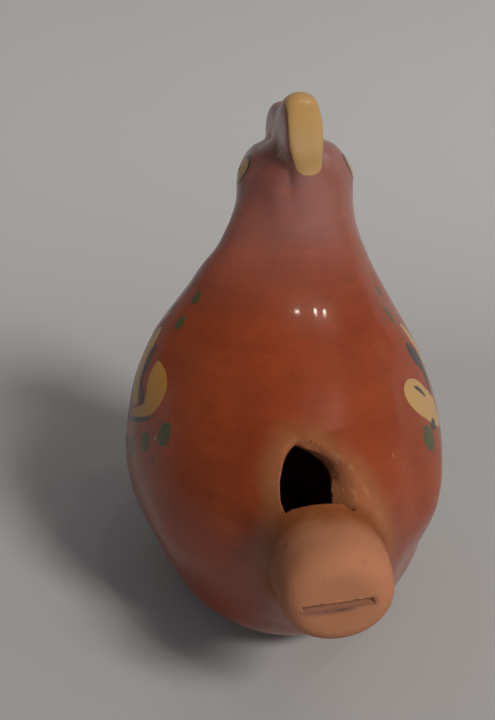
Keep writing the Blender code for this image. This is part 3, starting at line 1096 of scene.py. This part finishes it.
@dataclass
class Studio:
    """Pale floor that sweeps up behind the whistle, a soft light, three ceiling lamps and the camera."""

    floor_colour: Colour = (0.385, 0.376, 0.368)
    ceiling_light: Colour = (0.19, 0.19, 0.20)
    ceiling_shade: Colour = (0.12, 0.12, 0.13)
    window_light: Colour = (0.90, 0.97, 1.03)
    sweep_start: float = 0.075
    sweep_radius: float = 0.09
    sweep_height: float = 0.2
    half_width: float = 1.6
    front_reach: float = 1.6
    camera_behind: float = 0.0867
    camera_left: float = 0.01924
    camera_height: float = 0.0935
    camera_down: float = math.radians(24.2)
    camera_turn: float = math.radians(6.17)
    lens: float = 47.5
    sweep_steps: int = 14
    key_place: Place = (0.70, -0.80, 0.90)
    key_size: float = 0.34
    key_power: float = 15.0
    key_colour: Colour = (1.0, 0.97, 0.93)
    lamp_centre: Place = (0.003, 0.0017, 0.045)
    lamp_distance: float = 1.3
    lamp_directions: tuple[Place, ...] = ((0.198, -0.171, 0.965), (0.410, -0.100, 0.907), (0.511, -0.053, 0.858))
    lamp_power: float = 1.6
    lamp_radius: float = 0.020
    lamp_colour: Colour = (1.0, 0.93, 0.82)

    def build(self) -> None:
        """Set up floor, light, world and camera."""
        self._floor()
        self._lights()
        self._world()
        self._camera()
        bpy.context.scene.view_settings.view_transform = "Standard"

    def _floor(self) -> None:
        """One sheet: flat floor, a curve and a wall, drawn out sideways from its profile."""
        mesh = bmesh.new()
        profile = [(-self.front_reach, 0.0), (self.sweep_start, 0.0)]
        for step in range(1, self.sweep_steps + 1):
            angle = 0.5 * math.pi * step / self.sweep_steps
            y = self.sweep_start + self.sweep_radius * math.sin(angle)
            profile.append((y, self.sweep_radius * (1 - math.cos(angle))))
        profile.append((self.sweep_start + self.sweep_radius, self.sweep_height))
        line = [mesh.verts.new((-self.half_width, y, z)) for y, z in profile]
        edges = [mesh.edges.new(pair) for pair in zip(line, line[1:])]
        drawn = bmesh.ops.extrude_edge_only(mesh, edges=edges)
        moved = [item for item in drawn["geom"] if isinstance(item, bmesh.types.BMVert)]
        bmesh.ops.translate(mesh, verts=moved, vec=(2 * self.half_width, 0.0, 0.0))
        for face in mesh.faces:
            face.smooth = True
        data = bpy.data.meshes.new("floor")
        mesh.to_mesh(data)
        mesh.free()
        floor = bpy.data.objects.new("floor", data)
        bpy.context.scene.collection.objects.link(floor)
        material = bpy.data.materials.new("pale_floor")
        material.use_nodes = True
        shader = material.node_tree.nodes["Principled BSDF"]
        shader.inputs["Base Color"].default_value = (*self.floor_colour, 1.0)
        shader.inputs["Roughness"].default_value = 0.9
        data.materials.append(material)

    def _lights(self) -> None:
        """A soft main light from the right, and three ceiling lamps."""
        main = self._lamp("main_soft", "AREA", Vector(self.key_place), self.key_power, self.key_colour)
        main.data.size = self.key_size
        main.rotation_euler = (Vector((0.0, 0.0, 0.035)) - main.location).to_track_quat("-Z", "Y").to_euler()
        main.visible_glossy = False
        for index, direction in enumerate(self.lamp_directions):
            place = Vector(self.lamp_centre) + Vector(direction) * self.lamp_distance
            lamp = self._lamp(f"ceiling_lamp_{index}", "POINT", place, self.lamp_power, self.lamp_colour)
            lamp.data.shadow_soft_size = self.lamp_radius

    def _lamp(self, name: str, kind: str, place: Vector, power: float, colour: Colour) -> bpy.types.Object:
        """Hang a light.

        Args:
            name: What the light is called.
            kind: AREA or POINT.
            place: Where it hangs.
            power: Its power in watts.
            colour: Its linear colour.

        Returns:
            The light's object.
        """
        light = bpy.data.lights.new(name, kind)
        light.energy = power
        light.color = colour
        holder = bpy.data.objects.new(name, light)
        holder.location = place
        bpy.context.scene.collection.objects.link(holder)
        return holder

    def _world(self) -> None:
        """Dim ceiling, and a pale haze of light low down behind the camera."""
        world = bpy.data.worlds.new("room")
        world.use_nodes = True
        bench = ShaderBench(world.node_tree)
        split = bench.node("ShaderNodeSeparateXYZ")
        bench.join(bench.node("ShaderNodeTexCoord").outputs["Generated"], split.inputs[0])
        aside = bench.math("MULTIPLY", split.outputs["X"], 0.25)
        behind = bench.between(bench.math("SUBTRACT", aside, split.outputs["Y"]), 0.1, 1.0)
        low = bench.opposite(bench.between(split.outputs["Z"], 0.05, 0.75))
        back = world.node_tree.nodes["Background"]
        ceiling = bench.blend(bench.between(split.outputs["X"], -0.7, 0.5), self.ceiling_shade, self.ceiling_light)
        colour = bench.blend(bench.math("MULTIPLY", behind, low), ceiling, self.window_light)
        bench.join(colour, back.inputs["Color"])
        bpy.context.scene.world = world

    def _camera(self) -> None:
        """The camera behind and above the mouthpiece, turned a little to the right."""
        camera = bpy.data.cameras.new("camera")
        camera.lens = self.lens
        camera.sensor_width = 36.0
        camera.clip_start = 0.005
        holder = bpy.data.objects.new("camera", camera)
        blowing_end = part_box("whistle_body")[0][1]
        holder.location = (-self.camera_left, blowing_end - self.camera_behind, self.camera_height)
        holder.rotation_euler = (math.pi / 2 - self.camera_down, 0.0, -self.camera_turn)
        bpy.context.scene.collection.objects.link(holder)
        bpy.context.scene.camera = holder


def main() -> None:
    """Build the whistle and its studio, and report each piece."""
    logging.basicConfig(level=logging.INFO, format="%(message)s")
    strokes = flank_strokes(Side.LEFT) + flank_strokes(Side.RIGHT) + comb_strokes()
    strokes += eye_strokes(Side.LEFT) + eye_strokes(Side.RIGHT) + mouthpiece_stains_and_shade()
    body = WhistleBody(strokes=strokes)
    piece = body.build()
    Dresser().dress(piece)
    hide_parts(body.node)
    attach(piece, "root")
    LOG.info("%s: %d faces", piece.name, len(piece.data.polygons))
    Studio().build()
    LOG.info("studio: floor, lights and camera")


if __name__ == "__main__":
    main()
